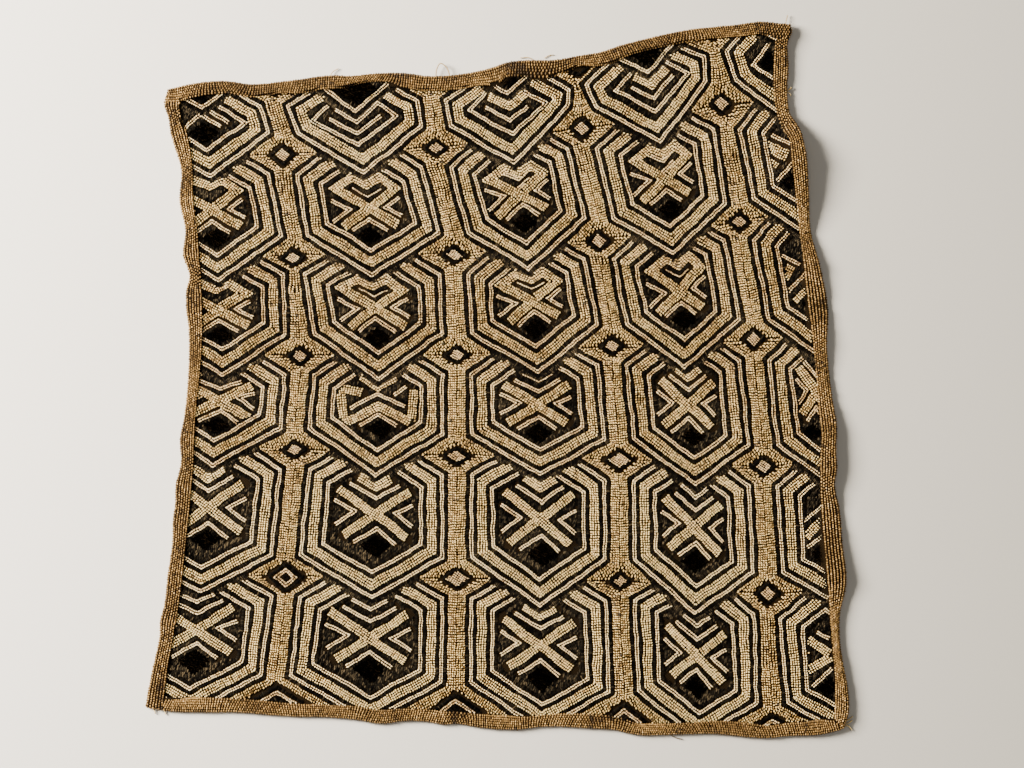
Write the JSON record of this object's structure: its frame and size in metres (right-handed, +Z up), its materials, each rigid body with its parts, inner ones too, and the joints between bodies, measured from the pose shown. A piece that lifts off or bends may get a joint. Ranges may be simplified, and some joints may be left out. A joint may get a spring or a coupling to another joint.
{
  "type": "kuba raffia cloth",
  "caption": "Square raffia cloth, hemmed on four sides and embroidered all over its face, lying flat with one side lifting in waves.",
  "frame": {"origin": "on the surface that the cloth rests on, under the middle of its outline", "axes": "+X to the right of the face, +Y to the top of the face, +Z up out of the face"},
  "size_m": [0.5614, 0.5716, 0.0138],
  "materials": {
    "raffia_ground": "matt woven raffia"
  },
  "bodies": {
    "root": {"kuba_cloth": "raffia_ground"}
  },
  "joints": []
}
